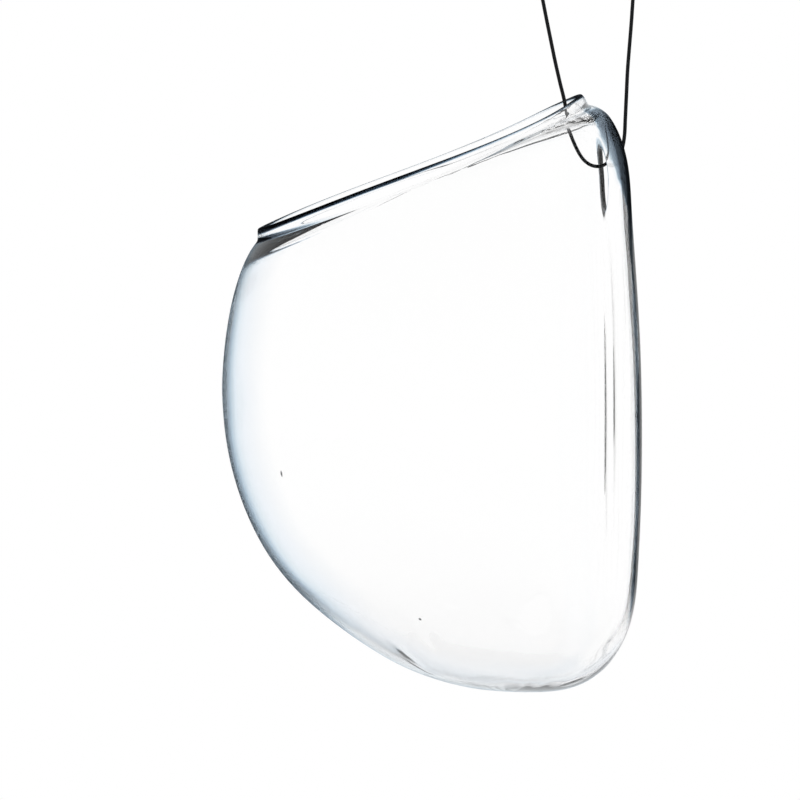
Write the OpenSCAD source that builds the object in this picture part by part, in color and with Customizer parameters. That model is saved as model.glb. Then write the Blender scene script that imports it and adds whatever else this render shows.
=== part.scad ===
// Hanging glass terrarium: one blown vessel with a round belly, a flat back,
// a slanted mouth and a hole in the back, held by a loop of round cord.
// The origin is the underside of the loop's top, where a peg carries it.
// The belly faces -Y, the flat back faces +Y, and +Z is up.

/* [Vessel body] */
// Depth from the flat back to the front of the belly
body_d = 168.5; // [155:0.5:190]
// Width from side to side
body_w = 186; // [165:1:210]
// Height of the belly's foremost point above the base
belly_h = 125; // [110:1:140]
// Height above the base where the back stands furthest out
back_h = 100; // [85:1:115]
// Distance of the lowest point in front of the back
foot_d = 43; // [36:1:55]
// Squareness of the turn from the base into the back
foot_square = 3.6; // [2.4:0.1:4.5]
// Height of the dome's top above the base
dome_h = 247; // [238:1:262]
// Distance of the dome's top in front of the back
dome_d = 15; // [12:0.5:20]
// Squareness of the dome seen from the side
dome_square = 2.7; // [2.3:0.1:3.4]
// Squareness of the flat back seen from above
flat_square = 5; // [3:0.5:6]
// Share of the depth at which a level section is widest
wide_share = 0.58; // [0.5:0.01:0.65]

/* [Mouth] */
// Set-back of the lip's front from the front of the belly
lip_setback = 15; // [10:0.5:25]
// Height of the lip's front above the base
lip_front_h = 193.5; // [185:0.5:205]
// Distance of the lip's rear end in front of the back
lip_back_d = 18.5; // [16:0.5:26]
// Height of the lip's rear end above the dome's top
lip_rise = 3.5; // [2.5:0.1:6]
// Width of the mouth across the lip
mouth_w = 124; // [100:1:136]
// Depth of the groove under the lip on each side
neck_groove = 1.2; // [0.6:0.1:3]
// Height of the collar from the groove to the lip
collar_h = 4.5; // [3:0.1:7]
// Dip of the lip's two sides below a straight line
lip_dip = 4; // [0:0.1:6]
// Dip of the groove's two sides below a straight line
neck_dip = 6; // [0:0.1:8]

/* [Glass] */
// Wall thickness at the front of the belly
wall_front = 1.6; // [1.2:0.1:2.4]
// Wall thickness at the front of the neck, where the glass stays thick
wall_neck = 5.4; // [2.4:0.1:6]
// Wall thickness at the back
wall_back = 2.8; // [2:0.1:4]
// Wall thickness at the base
wall_base = 2.4; // [1.6:0.1:4]
// Thickness of the fire-polished lip
lip_t = 1.8; // [1.5:0.1:3]

/* [Hanging hole] */
// Clear width of the hole
hole_w = 18; // [14:0.5:24]
// Clear height of the hole
hole_h = 27; // [20:0.5:32]
// Distance of the hole's centre below the dome's top
hole_drop = 28.5; // [26:0.5:40]

/* [Hanging cord] */
// Diameter of the round cord
cord_d = 1.6; // [1.2:0.1:2]
// Diameter of the knot's two barrels
knot_d = 5; // [4.4:0.1:6]
// Length of each cut end beside the knot
tail_l = 7; // [4:0.5:12]
// Drop from the peg to the vessel's base
hang_drop = 331; // [300:1:400]
// Distance of the flat back behind the peg
peg_to_back = 14; // [5:0.5:30]

/* [Hidden] */

// Turn of the front shoulder's arc and of the side shoulders' arcs at the groove
front_turn = 70;
side_turn = 62;
// The dome's arc stops just short of its top, where the groove begins
dome_turn = 88;
// Squareness of the mouth, which is nearly an oval
mouth_square = 2.2;
neck_w = mouth_w - 2 * neck_groove;

// Rows from the base to the widest section, from there to the hole, and from the hole to the groove
rows_low = 11;
rows_mid = 6;
rows_top = 9;
// Cells from the hole's centre to its edge, and to the last cell that bends round it
edge_cells = 3;
bend_cells = 6;
// Cells from the back's middle line to the front's
half_cells = 31;
columns = 2 * half_cells;
// Points across the rounded edge of the lip and of the hole
edge_steps = 4;

function mix(a, b, t) = a + (b - a) * t;
function unit(a) = a / norm(a);

// Point of a squared-off ellipse with half axes a and b at an angle
function squared(a, b, n, turn) =
    let (c = cos(turn), s = sin(turn), k = pow(pow(abs(c), n) + pow(abs(s), n), -1 / n))
    [a * c * k, b * s * k];

// A section of the vessel is numbered u: -1 at the base's lowest point, 0 where the vessel
// is widest, 1 at the groove and 2 at the lip. It runs between a front and a back point [y, z].
function front_pt(u) =
    u <= 0 ? let (q = squared(body_d - foot_d, belly_h, 2, -90 * u)) [-foot_d - q[0], belly_h - q[1]]
    : u <= 1 ? let (
        reach = lip_setback / (1 - cos(front_turn)),
        rise = (lip_front_h - collar_h - belly_h) / sin(front_turn))
        [reach * (1 - cos(u * front_turn)) - body_d, belly_h + rise * sin(u * front_turn)]
    : mix(front_pt(1), [lip_setback - body_d, lip_front_h], u - 1);

function back_pt(u) =
    u <= 0 ? let (q = squared(foot_d, back_h, foot_square, -90 * u)) [q[0] - foot_d, back_h - q[1]]
    : u <= 1 ? let (q = squared(dome_d, dome_h - back_h, dome_square, u * dome_turn))
        [q[0] - dome_d, back_h + q[1]]
    : mix(back_pt(1), [-lip_back_d, dome_h + lip_rise], u - 1);

// The sides lean in along an arc as the section's middle rises
function middle_h(u) = (front_pt(u)[1] + back_pt(u)[1]) / 2;
function lean(u) =
    let (rise = (middle_h(u) - middle_h(0)) / (middle_h(1) - middle_h(0)))
    (1 - cos(rise * side_turn)) / (1 - cos(side_turn));

function half_width(u) =
    u <= 0 ? squared(body_w / 2, 1, 2.3, -90 * u)[0]
    : u <= 1 ? mix(body_w / 2, neck_w / 2, lean(u))
    : mix(neck_w / 2, mouth_w / 2, u - 1);

// How far a section keeps the flat back's form, from 0 at the base and mouth to 1 where it is widest
function keeps(u) = cos(90 * min(abs(u), 1));
function squareness(u) = mix(mouth_square, flat_square, pow(keeps(u), 0.8));

// The mouth's sides dip, most at three quarters of the way back, and the body below follows
function dip(u, v) =
    let (
        t = (1 - cos(v)) / 2,
        depth = u <= 0 ? 0 : u <= 1 ? neck_dip * pow(u, 4) : mix(neck_dip, lip_dip, u - 1))
    depth * pow(t, 3) * (1 - t) * 256 / 27;

// Outer skin of section u at turn v: 0 at the front, 180 at the back
function outer(u, v) =
    let (
        f = front_pt(u),
        b = back_pt(u),
        deep = norm(b - f),
        front_share = mix(0.5, wide_share, keeps(u)) * deep,
        w = half_width(u),
        q = cos(v) >= 0
            ? [front_share * (1 - cos(v)), w * sin(v)]
            : squared(deep - front_share, w, squareness(u), 180 - v) + [front_share, 0],
        yz = f + (b - f) / deep * q[0])
    [q[1], yz[0], yz[1] - dip(u, v)];

function outward(u, v) =
    unit(cross(outer(u, v + 0.4) - outer(u, v - 0.4), outer(u + 0.004, v) - outer(u - 0.004, v)));

// The wall is thin in the belly and thicker in the back and base, and thickens to the neck's front
function wall(u, v) =
    let (
        side = mix(wall_front, wall_back, pow((1 - cos(v)) / 2, 2)),
        neck = side + (wall_neck - wall_front) * pow(max(cos(v), 0), 2) * pow(min(max(u, 0), 1), 6))
    u > 1 ? mix(neck, lip_t, sin(90 * (u - 1))) : mix(neck, wall_base, pow(max(-u, 0), 3));

// Side 0 is the outer skin and side 1 the inner one
function skin(side, u, v) = outer(u, v) - side * wall(u, v) * outward(u, v);

// The hole's centre, as a section number, and its half size, in section numbers and in degrees
hole_rise = (dome_h - hole_drop - back_h) / (dome_h - back_h);
hole_u = atan(1 / pow(pow(hole_rise, -dome_square) - 1, 1 / dome_square)) / dome_turn;
hole_edge = wall_back / 2;
hole_half_u = (hole_h / 2 + hole_edge) / norm(outer(hole_u + 0.01, 180) - outer(hole_u - 0.01, 180)) * 0.02;
hole_half_v = (hole_w / 2 + hole_edge) / norm(outer(hole_u, 181) - outer(hole_u, 179)) * 2;

// Section numbers of the rows, and turns of the columns, counted from the back's middle line
rows = concat(
    [for (i = [1:rows_low]) i / rows_low - 1],
    [for (i = [1:rows_mid]) mix(0, hole_u - hole_half_u, i / rows_mid)],
    [for (i = [1:2 * edge_cells]) hole_u + hole_half_u * (i / edge_cells - 1)],
    [for (i = [1:rows_top]) mix(hole_u + hole_half_u, 1, i / rows_top)],
    [1.3, 1.65, 2]);
hole_row = rows_low + rows_mid + edge_cells - 1;
function column(j) = j < half_cells ? j : j - columns;
function column_turn(a) =
    let (n = abs(a))
    180 + sign(a) * (n <= edge_cells
        ? hole_half_v * n / edge_cells
        : mix(hole_half_v, 180, (n - edge_cells) / (half_cells - edge_cells)));

// Direction of cell corner [a, b] from the hole's centre, even round a square of corners
function round_turn(a, b) =
    abs(a) >= abs(b) ? (a > 0 ? 0 : 180) + 45 * b / a : (b > 0 ? 90 : 270) - 45 * a / b;

// Section number and turn of cell corner [a, b]: near the hole the grid bends to its oval
function corner_place(a, b) =
    let (
        far = max(abs(a), abs(b)),
        plain = [rows[hole_row + b], column_turn(a)],
        bend = min(1, (bend_cells - far) / (bend_cells - edge_cells)))
    far >= bend_cells || far < edge_cells ? plain
    : mix(plain, [
        hole_u + hole_half_u * far / edge_cells * sin(round_turn(a, b)),
        180 + hole_half_v * far / edge_cells * cos(round_turn(a, b))], bend);

function grid_point(side, i, j) =
    let (p = corner_place(column(j), i - hole_row)) skin(side, p[0], p[1]);

// Half round from an outer to an inner point, bulging along a direction
function round_edge(from, to, along, k) =
    let (centre = (from + to) / 2, half = (from - to) / 2, turn = 180 * k / edge_steps)
    centre + half * cos(turn) + unit(along) * norm(half) * sin(turn);

// Cell corners round the hole's edge, from 45 degrees below one side
edge_count = 8 * edge_cells;
function edge_corner(h) =
    let (side = floor(h / (2 * edge_cells)), k = h % (2 * edge_cells) - edge_cells)
    side == 0 ? [edge_cells, k] : side == 1 ? [-k, edge_cells]
    : side == 2 ? [-edge_cells, -k] : [k, -edge_cells];

function lip_point(j, k) =
    let (v = column_turn(column(j)))
    round_edge(skin(0, 2, v), skin(1, 2, v), skin(0, 2, v) - skin(0, 1.65, v), k);

function hole_point(h, k) =
    let (
        p = corner_place(edge_corner(h)[0], edge_corner(h)[1]),
        from = skin(0, p[0], p[1]),
        to = skin(1, p[0], p[1]),
        middle = (skin(0, hole_u, 180) + skin(1, hole_u, 180)) / 2)
    round_edge(from, to, middle - (from + to) / 2, k);

row_count = len(rows);
skin_count = row_count * columns;
lip_first = 2 * skin_count;
hole_first = lip_first + (edge_steps - 1) * columns;
pole_first = hole_first + (edge_steps - 1) * edge_count;

vessel_points = concat(
    [for (side = [0, 1], i = [0:row_count - 1], j = [0:columns - 1]) grid_point(side, i, j)],
    [for (k = [1:edge_steps - 1], j = [0:columns - 1]) lip_point(j, k)],
    [for (k = [1:edge_steps - 1], h = [0:edge_count - 1]) hole_point(h, k)],
    [[0, -foot_d, 0], [0, -foot_d, wall_base]]);

// Point numbers on the two skins and across the two rounded edges
function skin_at(side, i, j) = side * skin_count + i * columns + (j + columns) % columns;
function lip_at(j, k) =
    k == 0 ? skin_at(0, row_count - 1, j) : k == edge_steps ? skin_at(1, row_count - 1, j)
    : lip_first + (k - 1) * columns + j % columns;
function hole_at(h, k) =
    let (c = edge_corner(h % edge_count))
    k == 0 ? skin_at(0, hole_row + c[1], c[0]) : k == edge_steps ? skin_at(1, hole_row + c[1], c[0])
    : hole_first + (k - 1) * edge_count + h % edge_count;

function in_hole(i, j) =
    let (a = column(j), b = i - hole_row)
    a >= -edge_cells && a < edge_cells && b >= -edge_cells && b < edge_cells;
function two_triangles(a, b, c, d) = [[a, b, c], [a, c, d]];

function skin_faces(side) = [
    for (i = [0:row_count - 2], j = [0:columns - 1], t = in_hole(i, j) ? [] : side == 0
        ? two_triangles(skin_at(0, i, j), skin_at(0, i + 1, j), skin_at(0, i + 1, j + 1), skin_at(0, i, j + 1))
        : two_triangles(skin_at(1, i, j), skin_at(1, i, j + 1), skin_at(1, i + 1, j + 1), skin_at(1, i + 1, j)))
        t];

vessel_faces = concat(
    skin_faces(0),
    skin_faces(1),
    [for (k = [0:edge_steps - 1], j = [0:columns - 1],
        t = two_triangles(lip_at(j, k), lip_at(j, k + 1), lip_at(j + 1, k + 1), lip_at(j + 1, k))) t],
    [for (k = [0:edge_steps - 1], h = [0:edge_count - 1],
        t = two_triangles(hole_at(h, k), hole_at(h, k + 1), hole_at(h + 1, k + 1), hole_at(h + 1, k))) t],
    [for (j = [0:columns - 1]) [pole_first, skin_at(0, 0, j), skin_at(0, 0, j + 1)]],
    [for (j = [0:columns - 1]) [pole_first + 1, skin_at(1, 0, j + 1), skin_at(1, 0, j)]]);

// The cord's route [x, y, z], from under the knot down the back, through the hole,
// round inside the mouth, up in front of the dome and over the peg to the top of the knot
cord_route = [
    [0, 20.2, -36], [0.2, 19.9, -40], [0.8, 19.1, -50], [1.8, 18.1, -60],
    [3, 17.1, -70], [4.2, 16.3, -80], [5.4, 15.4, -90], [6.3, 14.5, -97],
    [6.9, 12.9, -102.4], [7.1, 10.8, -105.8], [7.2, 8.5, -107.9], [7.2, 5.6, -109.2],
    [7.2, 2.3, -109.6], [7.1, -0.9, -108.6], [7, -3.9, -105.8], [6.8, -6.2, -101.5],
    [6, -7.9, -96], [5, -9.3, -89], [4, -10.3, -82], [3.2, -11.9, -75],
    [2.2, -13.8, -66], [1.2, -15.7, -56], [0.4, -17.6, -46], [0, -19.5, -36],
    [0, -21.3, -27], [0, -21.9, -20], [0, -19.7, -11.4], [0, -13.4, -3.7],
    [0, -5, 0.3], [0, 5, 0.3], [0, 13.4, -3.7], [0, 19.7, -11.4],
    [0, 21.6, -19], [0, 21.2, -23], [0, 20.9, -26]];
tube_sides = 8;
steps_per_stretch = 2;

// Smooth curve through the route's points, and its direction
function on_route(i) = cord_route[max(0, min(len(cord_route) - 1, i))];
function cord_point(t) =
    let (
        i = min(floor(t), len(cord_route) - 2),
        f = t - i,
        a = on_route(i - 1), b = on_route(i), c = on_route(i + 1), d = on_route(i + 2))
    (2 * b + (c - a) * f + (2 * a - 5 * b + 4 * c - d) * f * f + (3 * b - a - 3 * c + d) * f * f * f) / 2;
function cord_heading(t) = unit(cord_point(t + 0.02) - cord_point(t - 0.02));

module glass_vessel() {
    color([0.83, 0.91, 0.94, 0.4])
        translate([0, peg_to_back, -hang_drop])
            polyhedron(vessel_points, vessel_faces, convexity = 8);
}

// One round cord, swept as a tube from one side of the knot to the other
module hanging_cord() {
    last = (len(cord_route) - 1) * steps_per_stretch;
    headings = [for (i = [0:last])
        i == 0 || i == last ? knot_axis : cord_heading(i / steps_per_stretch)];
    rings = [for (i = [0:last])
        let (
            heading = headings[i],
            across = unit([1, 0, 0] - heading * heading[0]),
            up = cross(heading, across))
        [for (k = [0:tube_sides - 1])
            cord_point(i / steps_per_stretch)
                + cord_d / 2 * (across * cos(360 * k / tube_sides) + up * sin(360 * k / tube_sides))]];
    points = [for (ring = rings) each ring];
    side_faces = [for (i = [0:last - 1], k = [0:tube_sides - 1], t = let (m = (k + 1) % tube_sides)
        two_triangles(i * tube_sides + k, (i + 1) * tube_sides + k,
            (i + 1) * tube_sides + m, i * tube_sides + m)) t];
    ends = [
        [for (k = [0:tube_sides - 1]) k],
        [for (k = [tube_sides - 1:-1:0]) last * tube_sides + k]];
    color([0.06, 0.07, 0.08])
        polyhedron(points, concat(side_faces, ends), convexity = 8);
}

// The join of the cord's two ends: two wound barrels, one against the other, with a cut end beside each
knot_low = cord_route[0];
knot_high = cord_route[len(cord_route) - 1];
knot_axis = unit(knot_high - knot_low);
knot_l = norm(knot_high - knot_low);
barrel_round = 1.2;
tail_lean = 40;

module barrel(length) {
    rotate_extrude($fn = 24) {
        translate([0, barrel_round])
            square([knot_d / 2, length - 2 * barrel_round]);
        square([knot_d / 2 - barrel_round, length]);
        for (z = [barrel_round, length - barrel_round])
            translate([knot_d / 2 - barrel_round, z])
                intersection() {
                    circle(r = barrel_round, $fn = 16);
                    translate([-knot_d / 2 + barrel_round, -barrel_round])
                        square([knot_d / 2, 2 * barrel_round]);
                }
    }
}

module cut_end() {
    rotate([0, tail_lean, 0])
        cylinder(h = tail_l + knot_d / 2, d = cord_d, $fn = 16);
}

module cord_knot() {
    lean = -asin(knot_axis[1]);
    color([0.06, 0.07, 0.08])
        translate(knot_low)
            rotate([lean, 0, 0]) {
                barrel(knot_l / 2);
                translate([0, 0, knot_l / 2])
                    barrel(knot_l / 2);
                for (turn = [60, 120])
                    translate([0, 0, knot_l * (turn == 60 ? 0.25 : 0.7)])
                        rotate([0, 0, turn])
                            cut_end();
            }
}

glass_vessel();
hanging_cord();
cord_knot();
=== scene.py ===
import math

import bmesh
import bpy
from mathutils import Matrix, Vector, noise


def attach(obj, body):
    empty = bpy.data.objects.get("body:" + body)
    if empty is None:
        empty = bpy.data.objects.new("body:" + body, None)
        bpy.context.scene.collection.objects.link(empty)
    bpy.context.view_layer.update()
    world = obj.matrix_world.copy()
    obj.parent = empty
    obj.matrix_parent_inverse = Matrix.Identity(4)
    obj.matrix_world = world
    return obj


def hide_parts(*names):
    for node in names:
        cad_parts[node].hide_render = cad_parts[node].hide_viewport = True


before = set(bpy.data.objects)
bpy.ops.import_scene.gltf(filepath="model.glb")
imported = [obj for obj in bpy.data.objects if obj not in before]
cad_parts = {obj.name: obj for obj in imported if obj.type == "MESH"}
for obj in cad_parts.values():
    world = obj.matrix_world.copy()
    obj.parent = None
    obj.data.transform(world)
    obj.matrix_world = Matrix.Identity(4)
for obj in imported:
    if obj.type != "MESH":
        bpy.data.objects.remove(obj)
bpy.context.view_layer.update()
scene = bpy.context.scene
scene.view_settings.view_transform = "Standard"


# ---- Camera ----
# A long lens level with the vessel's middle looks at its side: the belly is on the left and the
# flat back on the right, turned a little so that the back's outer face is out of sight.
view_turn = math.radians(81.5)
view_distance = 2.6
view_width = 0.336
view_middle = Vector((0, -0.0795, -0.2088))
film_width_mm = 36

camera = bpy.data.objects.new("camera", bpy.data.cameras.new("camera"))
toward_camera = Vector((math.sin(view_turn), -math.cos(view_turn), 0))
camera.location = view_middle + view_distance * toward_camera
camera.rotation_euler = (math.radians(90), 0, view_turn)
camera.data.sensor_width = film_width_mm
camera.data.lens = film_width_mm * view_distance / view_width
camera.data.clip_end = 50
scene.collection.objects.link(camera)
scene.camera = camera


# ---- Hanging cord ----
# One length of limp round cord, waxed black: it drops from its knot behind the dome, comes in
# through the hole, turns in a slack bend inside, and rises out of the mouth to go over the peg.
cord_thickness = 0.0016
cord_route_mm = [
    (0, 20.2, -36), (0.2, 19.9, -40), (0.8, 19.1, -50), (1.8, 18.1, -60),
    (3, 17.1, -70), (4.2, 16.4, -80), (5.4, 15.7, -90), (6.3, 15.2, -97),
    (6.9, 14.2, -102.4), (7.1, 12.6, -105.8), (7.2, 10.4, -108.2), (7.2, 7.4, -109.7),
    (7.2, 4, -110.2), (7.1, 0.6, -109.4), (7, -2.6, -106.9), (6.8, -5.2, -102.6),
    (6, -7.3, -96.8), (5, -9, -89.5), (4, -10.3, -82), (3.2, -11.9, -75),
    (2.2, -13.8, -66), (1.2, -15.7, -56), (0.4, -17.6, -46), (0, -19.5, -36),
    (0, -21.3, -27), (0, -21.9, -20), (0, -19.7, -11.4), (0, -13.4, -3.7),
    (0, -5, 0.3), (0, 5, 0.3), (0, 13.4, -3.7), (0, 19.7, -11.4),
    (0, 21.6, -19), (0, 21.2, -23), (0, 20.9, -26),
]


def smooth_line(curve, points):
    """A bezier spline through points, its handles along the chord of each point's neighbours."""
    line = curve.splines.new("BEZIER")
    line.bezier_points.add(len(points) - 1)
    for i, point in enumerate(line.bezier_points):
        ahead = (points[min(i + 1, len(points) - 1)] - points[max(i - 1, 0)]) / 6
        point.co = points[i]
        point.handle_left_type = point.handle_right_type = "FREE"
        point.handle_left, point.handle_right = points[i] - ahead, points[i] + ahead


def round_cord(name, runs, thickness):
    """A round cord through one or more runs of points, with its cut ends closed."""
    curve = bpy.data.curves.new(name, "CURVE")
    curve.dimensions = "3D"
    curve.bevel_depth = thickness / 2
    curve.bevel_resolution = 3
    curve.resolution_u = 8
    curve.use_fill_caps = True
    for points in runs:
        smooth_line(curve, points)
    cord = bpy.data.objects.new(name, curve)
    scene.collection.objects.link(cord)
    return cord


def linear(hex_colour):
    """A colour written as sRGB hex, as the linear RGBA that a shader takes."""
    parts = [int(hex_colour[i:i + 2], 16) / 255 for i in (0, 2, 4)]
    return tuple(c / 12.92 if c < 0.04045 else ((c + 0.055) / 1.055) ** 2.4 for c in parts) + (1,)


def add_node(tree, kind, settings=None, **links):
    """Adds a node and sets its properties. Its inputs, named or as i and their number, are filled
    with values or with other nodes' outputs."""
    made = tree.nodes.new(kind)
    for key, value in (settings or {}).items():
        setattr(made, key, value)
    for key, value in links.items():
        by_number = key[0] == "i" and key[1:].isdigit()
        socket = made.inputs[int(key[1:]) if by_number else key.replace("_", " ")]
        if isinstance(value, bpy.types.NodeSocket):
            tree.links.new(value, socket)
        else:
            socket.default_value = value
    return made


def new_material(name):
    """An empty node material with its output node."""
    material = bpy.data.materials.new(name)
    material.use_nodes = True
    material.node_tree.nodes.clear()
    return material, material.node_tree, material.node_tree.nodes.new("ShaderNodeOutputMaterial")


# Waxed black cotton cord, braided round: so fine that it reads as a dull black with a soft shine.
# The braid's cells are about 0.5 mm long, and the wax is worn in patches of about 4 mm.
waxed_cord, tree, output = new_material("waxed_black_cord")
place = add_node(tree, "ShaderNodeTexCoord")
braid = add_node(
    tree, "ShaderNodeTexVoronoi", {"feature": "SMOOTH_F1"},
    Vector=place.outputs["Object"], Scale=2200.0, Smoothness=0.6)
wax = add_node(tree, "ShaderNodeTexNoise", Vector=place.outputs["Object"], Scale=260.0, Detail=3.0)
shade = add_node(
    tree, "ShaderNodeMix", {"data_type": "RGBA"},
    i0=wax.outputs["Fac"], i6=linear("07090b"), i7=linear("101316"))
relief = add_node(
    tree, "ShaderNodeBump", Strength=0.35, Distance=0.0001, Height=braid.outputs["Distance"])
dull = add_node(
    tree, "ShaderNodeMapRange",
    Value=wax.outputs["Fac"], From_Min=0.3, From_Max=0.7, To_Min=0.42, To_Max=0.6)
shader = add_node(
    tree, "ShaderNodeBsdfPrincipled",
    Base_Color=shade.outputs[2], Roughness=dull.outputs["Result"], Specular_IOR_Level=0.12,
    Normal=relief.outputs["Normal"])
tree.links.new(shader.outputs["BSDF"], output.inputs["Surface"])

# Each end of the cord runs on a little way into the knot, out of sight.
hidden_end = 0.0045
cord_points = [Vector(point) / 1000 for point in cord_route_mm]
knot_low, knot_high = cord_points[0], cord_points[-1]
knot_axis = (knot_high - knot_low).normalized()
hanging_cord = round_cord(
    "hanging_cord_round",
    [[knot_low + hidden_end * knot_axis] + cord_points + [knot_high - hidden_end * knot_axis]],
    cord_thickness)
hanging_cord.data.materials.append(waxed_cord)


# ---- Knot ----
# The cord's two ends joined above the vessel: each end is wound twice round the other strand,
# the two coils pull up against each other, and the cut ends stand out beside them.
knot_length = (knot_high - knot_low).length
knot_side = knot_axis.cross(Vector((1, 0, 0))).normalized()
coil_radius = cord_thickness
coil_degrees = 360 * 2.05
coil_steps = 24
coil_end_gap = 0.0009
strand_offset = 0.0004
# A cut end's path beyond its coil: how far from the axis and how high, and how many degrees it
# turns on for each metre away from the axis.
cut_end_path = ((0.0023, 0.0006), (0.0034, 0.0018), (0.0045, 0.0032), (0.0053, 0.0046))
cut_end_lean = 4000


def knot_point(turn, away, along):
    """A point of the knot by its turn in degrees, its distance from the axis and its height."""
    angle = math.radians(turn)
    across = Vector((1, 0, 0)) * math.cos(angle) - knot_side * math.sin(angle)
    return knot_low + knot_axis * along + across * away


knot_runs = []
for start_turn, first, last in (
    (60, knot_length / 2 - strand_offset, coil_end_gap),
    (120, knot_length / 2 + strand_offset, knot_length - coil_end_gap),
):
    run = [knot_point(start_turn, strand_offset, first)]
    for step in range(coil_steps + 1):
        share = step / coil_steps
        turn, along = start_turn + coil_degrees * share, first + (last - first) * share
        run.append(knot_point(turn, coil_radius * min(1, 0.55 + 3 * share), along))
    for away, along in cut_end_path:
        run.append(knot_point(start_turn + coil_degrees + cut_end_lean * away, away, last + along))
    knot_runs.append(run)
cord_knot = round_cord("cord_knot_wound", knot_runs, cord_thickness)
cord_knot.data.materials.append(waxed_cord)
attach(cord_knot, "root")
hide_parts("cord_knot")

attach(hanging_cord, "root")
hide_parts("hanging_cord")


# ---- Glass vessel ----
# Clear soda-lime glass, blown and shaped by hand: the flat back is paddled, the mouth is cut and
# fire-polished, and the wall keeps soft waves and a few seeds from the blowing. It hangs on the
# cord by the rim of the hole in its back.
cad_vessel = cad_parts["glass_vessel"]
form = bmesh.new()
form.from_mesh(cad_vessel.data)
bmesh.ops.remove_doubles(form, verts=form.verts, dist=1e-6)
bmesh.ops.join_triangles(
    form, faces=form.faces, cmp_seam=False, cmp_sharp=False, cmp_uvs=False, cmp_vcols=False,
    cmp_materials=False,
    angle_face_threshold=math.radians(60), angle_shape_threshold=math.radians(100))

# Where the hand left the form uneven: a place (y, z) and a reach in the vessel's middle plane, and
# how far the glass there was pushed back and up, all in mm.
hand_pushes_mm = [
    (10, -107, 22, 2.4, -0.4), (-5, -84, 15, -0.2, 0.45), (14, -200, 60, 0.55, -0.55),
    (8, -302, 20, 2.35, -0.9), (-4, -80, 6, 1.8, 0.2), (0, -85, 5, -0.9, -0.7),
    (-45, -331, 40, -0.55, -0.8), (-98, -303, 20, 1.3, 0.75), (-130, -265, 25, -0.1, -1.45),
    (-150, -190, 40, 0.15, -1.1)]
hollow_middle = Vector((0, -0.07, -0.2))
lip_front, lip_rear = Vector((0, -0.1395, -0.1375)), Vector((0, -0.0045, -0.0805))
source_lip_dip, finished_lip_dip = 0.004, 0.003
front_neck_thinned = 0.0022


def clamped(value):
    """The value, held between 0 and 1."""
    return min(max(value, 0), 1)


def ramp(value, at_none, at_full):
    """0 where the value is at_none, 1 where it is at_full, and held past both."""
    return clamped((value - at_none) / (at_full - at_none))


def eased(share):
    """A share from 0 to 1 that starts and ends softly."""
    return share * share * (3 - 2 * share)


def hump(share, power):
    """0 at both ends of the mouth and 1 at its highest, which a greater power moves to the rear."""
    return share ** power * (1 - share) * (power + 1) ** (power + 1) / power ** power


def along_mouth(place):
    """How far back along the mouth a point lies: 0 at the front of the lip and 1 at its rear."""
    return ramp(place.y, lip_front.y, lip_rear.y)


def below_lip(place, dip):
    """How far a point lies under the line of the lip, which dips at three quarters of its run."""
    share = along_mouth(place)
    return lip_front.z + (lip_rear.z - lip_front.z) * share - dip * hump(share, 3) - place.z


# Besides the pushes, the lip sags a little toward its front, the neck under it is drawn up toward
# the rear, and the neck's front wall is thinned from inside.
form.normal_update()
for vert in form.verts:
    shift = Vector((0, 0, 0))
    for y, z, reach, back, up in hand_pushes_mm:
        away = math.hypot(vert.co.y * 1000 - y, vert.co.z * 1000 - z) / reach
        shift += Vector((0, back, up)) * math.exp(-away * away) / 1000
    share, below = along_mouth(vert.co), below_lip(vert.co, source_lip_dip)
    lip_lift = 0.0012 * hump(share, 3) - 0.0012 * hump(share, 1)
    neck_lift = 0.006 * hump(share, 3) - 0.0028 * hump(share, 1)
    neck_part = eased(ramp(below, 0.001, 0.0055))
    above_body = 1 - eased(ramp(below, 0.008, 0.038))
    shift.z += (lip_lift + (neck_lift - lip_lift) * neck_part) * above_body
    inner_skin = vert.normal.dot(vert.co - hollow_middle) < 0
    if inner_skin:
        at_front = ramp(vert.co.y, -0.07, -0.12)
        shift -= vert.normal * front_neck_thinned * at_front * neck_part * above_body
    vert.co += shift

# The skin is rounded off between the points of the solid.
subdivisions = 2
rough_mesh = bpy.data.meshes.new("rough_vessel")
form.to_mesh(rough_mesh)
form.free()
rough_vessel = bpy.data.objects.new("rough_vessel", rough_mesh)
scene.collection.objects.link(rough_vessel)
smoother = rough_vessel.modifiers.new("smooth", "SUBSURF")
smoother.levels = smoother.render_levels = subdivisions
bpy.context.view_layer.update()
rounded = rough_vessel.evaluated_get(bpy.context.evaluated_depsgraph_get())
vessel_mesh = bpy.data.meshes.new_from_object(rounded)
bpy.data.objects.remove(rough_vessel)
vessel = bpy.data.objects.new("blown_glass_vessel", vessel_mesh)
scene.collection.objects.link(vessel)
vessel_mesh.materials.clear()
vessel_mesh.shade_smooth()

# The glass's material reads two attributes of the skin: one is painted shade, how much the glass's
# colour is darkened where the wall is curved or seen aslant, in place of the dark edges that its
# refraction would show, and "sheen" says how much its surface mirrors.
hole_middle_z, hole_half_width, hole_half_height = -0.113, 0.0125, 0.0165


def sharpest_bend(vert):
    """The strongest curvature of the skin along a vertex's edges, in radians per metre."""
    sharpest = 0
    for edge in vert.link_edges:
        other = edge.other_vert(vert)
        run = other.co - vert.co
        sharpest = max(sharpest, abs((other.normal - vert.normal).dot(run)) / run.length_squared)
    return sharpest


def bend_of_curve(curvature):
    """The painted shade that a curvature gives: 0 where the wall is flat, 0.45 on the belly, and
    most on the rims.
    """
    sharp = ramp(math.log(max(curvature, 1)), math.log(45), math.log(500))
    return 0.45 * eased(ramp(curvature, 2, 9)) + 0.75 * sharp


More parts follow.
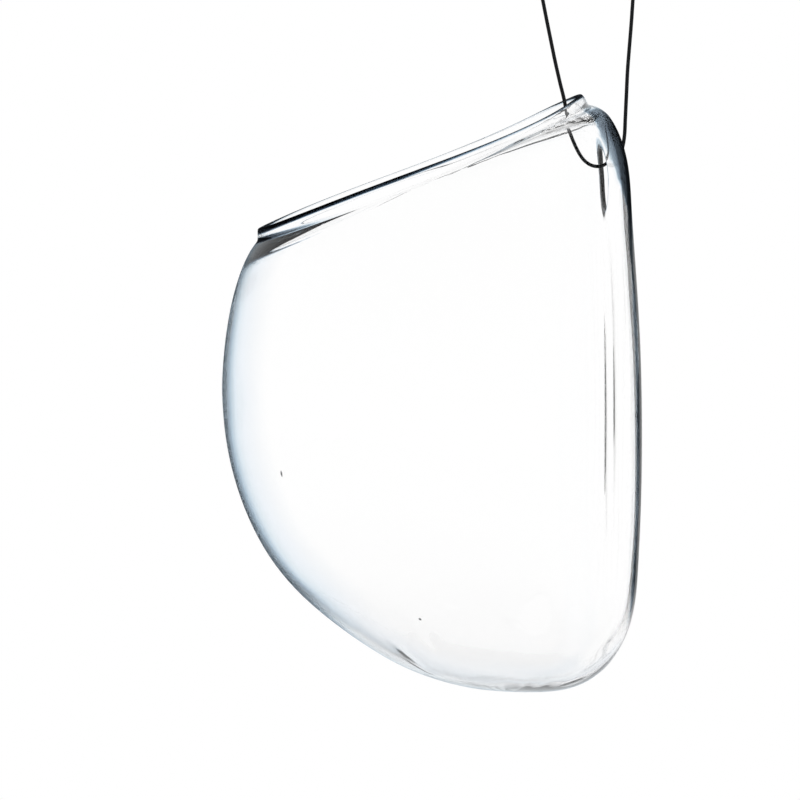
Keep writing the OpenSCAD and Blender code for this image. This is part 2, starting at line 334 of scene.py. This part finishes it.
def bend_of_lip(edge_shade, place, below):
    """Painted shade on the polished lip: a painted black line along one side, thinner to the rear,
    and a faint painted line along the other."""
    rear = ramp(place.y, -0.09, -0.03)
    painted_line_side = 0.5 + 0.5 * math.tanh(place.x / 0.01)
    line_depth = 0.0026 - 0.0012 * rear
    painted_black_line = (1 - 0.55 * rear) * painted_line_side * ramp(below, line_depth, line_depth - 0.0009)
    painted_faint_line = 0.25 * (1 - painted_line_side) * ramp(below, 0.0016, 0.0007)
    return edge_shade * 0.45 + painted_black_line + painted_faint_line


def bend_of_back(edge_shade, place, normal):
    """Painted shade on the back: the flat back and the dome over it are left clear, the hole's rim
    gets painted shade at its edges, and the corner between back and side gets a painted dark band,
    which widens and runs forward over the dome."""
    edge_shade *= 1 - 0.85 * ramp(abs(normal.y), 0.6, 0.85)
    edge_shade *= 1 - 0.8 * ramp(place.z, -0.115, -0.095)
    if in_hole(place):
        edge_shade = 0.08 + 0.42 * ramp(abs(normal.y), 0.35, 0.55)
    high = ramp(place.z, -0.15, -0.11)
    corner_shade_y = 0.006 - 0.38 * max(place.z + 0.13, 0) + 0.25 * max(place.z + 0.1, 0)
    corner_shade_turn = 0.33 - 0.28 * high
    painted_corner_shade = ramp(normal.x, corner_shade_turn, corner_shade_turn + 0.1) * ramp(place.y, corner_shade_y, corner_shade_y + 0.001)
    painted_corner_shade *= ramp(place.x, 0.01, 0.03) * (1 - 0.6 * ramp(place.z, -0.096, -0.086))
    return edge_shade + (0.82 + 0.08 * high - edge_shade) * painted_corner_shade


def in_hole(place):
    """Whether a point, seen square to the flat back, lies in the hole or its rim."""
    across, upright = place.x / hole_half_width, (place.z - hole_middle_z) / hole_half_height
    return math.hypot(across, upright) < 1


def sheen_at(place, below):
    """Most on the rear of the neck, the base and the hole's rim, and least where the cord is seen
    through the wall, so that it stays black."""
    neck_rear = ramp(place.y, -0.08, -0.05) * ramp(below, 0.014, 0.01)
    neck_front = ramp(place.y, -0.1, -0.12) * ramp(below, 0.04, 0.03)
    base = ramp(place.z, -0.285, -0.305)
    rim = 1 if place.y > 0 and in_hole(place) else 0
    over_cord = ramp(place.y, -0.05, -0.03) * ramp(place.y, 0.001, -0.003)
    over_cord *= ramp(place.z, -0.135, -0.12)
    least = 0.4 - 0.32 * over_cord
    return least + (1 - least) * max(neck_rear, base, 0.4 * neck_front, rim)


lip_height, neck_height = 0.0035, 0.012
neck_rear_end, back_begins = -0.012, -0.03
form = bmesh.new()
form.from_mesh(vessel_mesh)
form.normal_update()
bend_layer = form.verts.layers.float.new("bend")
sheen_layer = form.verts.layers.float.new("sheen")
# Each point gets its painted shade from the curvature, then set anew on the lip, the neck and the
# back, and its sheen.
for vert in form.verts:
    below = below_lip(vert.co, finished_lip_dip)
    edge_shade = bend_of_curve(sharpest_bend(vert))
    if below < lip_height:
        edge_shade = bend_of_lip(edge_shade, vert.co, below)
    elif below < neck_height and vert.co.y < neck_rear_end:
        edge_shade *= 0.15 + 0.75 * ramp(vert.co.y, -0.075, -0.125)
    elif vert.co.y > back_begins:
        edge_shade = bend_of_back(edge_shade, vert.co, vert.normal)
    vert[bend_layer] = edge_shade * (1 - 0.4 * ramp(vert.co.z, -0.29, -0.32))
    vert[sheen_layer] = sheen_at(vert.co, below)
# One pass evens the painted shade out between neighbouring points.
evened = []
for vert in form.verts:
    around = sum(edge.other_vert(vert)[bend_layer] for edge in vert.link_edges)
    evened.append(0.5 * vert[bend_layer] + 0.5 * around / len(vert.link_edges))
for vert, edge_shade in zip(form.verts, evened):
    vert[bend_layer] = edge_shade

# The inner skin keeps the waves of the blowing, upright streaks in the flat back, and one soft
# thick spot at the foremost point of the belly.
wave_depth, wave_length = 0.00022, 0.05
streak_depth, streak_width, streak_length = 0.00016, 0.009, 0.09
spot_depth, spot_z, spot_reach = 0.0004, -0.209, 0.018
for vert in form.verts:
    x, y, z = vert.co
    inward = max(0, -vert.normal.dot((vert.co - hollow_middle).normalized()))
    wave = noise.noise(Vector((x, y, z * 0.4)) / wave_length)
    fine_wave = noise.noise(Vector((x, y, z * 0.25)) / (wave_length / 3) + Vector((7, 3, 1)))
    streak = noise.noise(Vector((x / streak_width, y / streak_width, z / streak_length - 0.7)))
    at_back = ramp(y, -0.002, 0.002) * ramp(z, -0.29, -0.26) * ramp(z, -0.13, -0.15)
    spot = max(0, 1 - ((z - spot_z) / spot_reach) ** 2) ** 2 * ramp(y, -0.143, -0.149)
    raised = wave_depth * (wave + 0.25 * fine_wave) + streak_depth * streak * at_back
    raised += spot_depth * spot
    vert.co += vert.normal * raised * min(1, inward * 1.5)
form.to_mesh(vessel_mesh)
form.free()

# Soda-lime glass, fire-polished: clear as water when looked through squarely. Its colour is painted
# blue-grey and then nearly black where a curved wall is seen aslant: painted shade in place of the
# dark edges that the wall's refraction would show.
soda_glass, tree, output = new_material("blown_soda_lime_glass")
slant = add_node(tree, "ShaderNodeLayerWeight", Blend=0.5)
bend = add_node(tree, "ShaderNodeAttribute", {"attribute_name": "bend"})
slant_and_bend = add_node(
    tree, "ShaderNodeMath", {"operation": "ADD"},
    i0=slant.outputs["Facing"], i1=bend.outputs["Fac"])
tint_and_shade_place = add_node(
    tree, "ShaderNodeMapRange",
    Value=slant_and_bend.outputs[0], From_Min=0.0, From_Max=2.0, To_Min=0.0, To_Max=1.0)
tint_and_shade_ramp = add_node(tree, "ShaderNodeValToRGB", Fac=tint_and_shade_place.outputs["Result"])
# The glass's tint and painted shade by the sum of slant and the painted shade attribute, from clear
# through faint blue to near black.
tints_and_shades = (
    (0.86, "ffffff"), (0.95, "fbfcfd"), (1.09, "f6f9fc"), (1.14, "f0f5f8"), (1.2, "e8f0f6"),
    (1.26, "c8d6e0"), (1.32, "9eaebb"), (1.45, "6b7681"), (1.7, "2b3036"))
while len(tint_and_shade_ramp.color_ramp.elements) < len(tints_and_shades):
    tint_and_shade_ramp.color_ramp.elements.new(0.5)
for element, (at, colour) in zip(tint_and_shade_ramp.color_ramp.elements, tints_and_shades):
    element.position = at / 2
    element.color = linear(colour)
# Seeds, the small bubbles and specks left in blown glass: dark points in the outer skin, one round
# and about 1 mm wide, and one drawn out upright to about 3 mm. Each has its place and its squeeze.
seeds = (((0.0614, -0.0804, -0.2988), 1), ((0.0479, -0.1361, -0.2394), 0.4))
skin_place = add_node(tree, "ShaderNodeTexCoord").outputs["Object"]
tint_and_shade = tint_and_shade_ramp.outputs["Color"]
for seed_place, squeeze in seeds:
    offset = add_node(
        tree, "ShaderNodeVectorMath", {"operation": "SUBTRACT"}, i0=skin_place, i1=seed_place)
    narrowed = add_node(
        tree, "ShaderNodeVectorMath", {"operation": "MULTIPLY"},
        i0=offset.outputs["Vector"], i1=(1, 1, squeeze))
    away = add_node(
        tree, "ShaderNodeVectorMath", {"operation": "LENGTH"}, i0=narrowed.outputs["Vector"])
    dark = add_node(
        tree, "ShaderNodeMapRange",
        Value=away.outputs["Value"], From_Min=0.0004, From_Max=0.0008, To_Min=0.85, To_Max=0.0)
    tint_and_shade = add_node(
        tree, "ShaderNodeMix", {"data_type": "RGBA"},
        i0=dark.outputs["Result"], i6=tint_and_shade, i7=linear("20262b")).outputs[2]
through = add_node(tree, "ShaderNodeBsdfRefraction", Color=tint_and_shade, Roughness=0.0, IOR=1.5)
mirrored = add_node(tree, "ShaderNodeBsdfGlass", Color=tint_and_shade, Roughness=0.0, IOR=1.5)
sheen = add_node(tree, "ShaderNodeAttribute", {"attribute_name": "sheen"})
shader = add_node(
    tree, "ShaderNodeMixShader",
    i0=sheen.outputs["Fac"], i1=through.outputs["BSDF"], i2=mirrored.outputs["BSDF"])
tree.links.new(shader.outputs["Shader"], output.inputs["Surface"])
vessel_mesh.materials.append(soda_glass)
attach(vessel, "root")
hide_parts("glass_vessel")


# ---- Floor and studio ----
# A plain matt white floor well under the hanging vessel, and a white surround that lights it
# evenly from all sides.
floor_middle = (0, -0.07, -0.62)
floor_radius = 3

form = bmesh.new()
bmesh.ops.create_circle(form, cap_ends=True, radius=floor_radius, segments=96)
bmesh.ops.translate(form, verts=form.verts, vec=floor_middle)
floor_mesh = bpy.data.meshes.new("floor")
form.to_mesh(floor_mesh)
form.free()
floor = bpy.data.objects.new("floor", floor_mesh)
scene.collection.objects.link(floor)
# Matt white wall paint, rolled on: no shine at all.
floor_paint, tree, output = new_material("matt_white_floor")
shader = add_node(tree, "ShaderNodeBsdfDiffuse", Color=linear("fafafa"))
tree.links.new(shader.outputs["BSDF"], output.inputs["Surface"])
floor_mesh.materials.append(floor_paint)

# The studio is white all round. Light that the glass bends down from high overhead is dimmer, as
# it is under a dark studio ceiling, which gives the lip and the shoulders their darker lines.
overhead_light = 0.6

world = bpy.data.worlds.new("white_studio")
scene.world = world
world.use_nodes = True
tree = world.node_tree
tree.nodes.clear()
output = tree.nodes.new("ShaderNodeOutputWorld")
ray = add_node(tree, "ShaderNodeLightPath")
direction = add_node(tree, "ShaderNodeTexCoord")
height = add_node(tree, "ShaderNodeSeparateXYZ", Vector=direction.outputs["Generated"])
surround = add_node(
    tree, "ShaderNodeMapRange", {"interpolation_type": "SMOOTHSTEP"},
    Value=height.outputs["Z"], From_Min=0.3, From_Max=0.8, To_Min=1.0, To_Max=overhead_light)
strength = add_node(
    tree, "ShaderNodeMix", {"data_type": "FLOAT"},
    i0=ray.outputs["Is Transmission Ray"], i2=1.0, i3=surround.outputs["Result"])
white = add_node(
    tree, "ShaderNodeBackground", Color=linear("ffffff"), Strength=strength.outputs[0])
tree.links.new(white.outputs[0], output.inputs["Surface"])
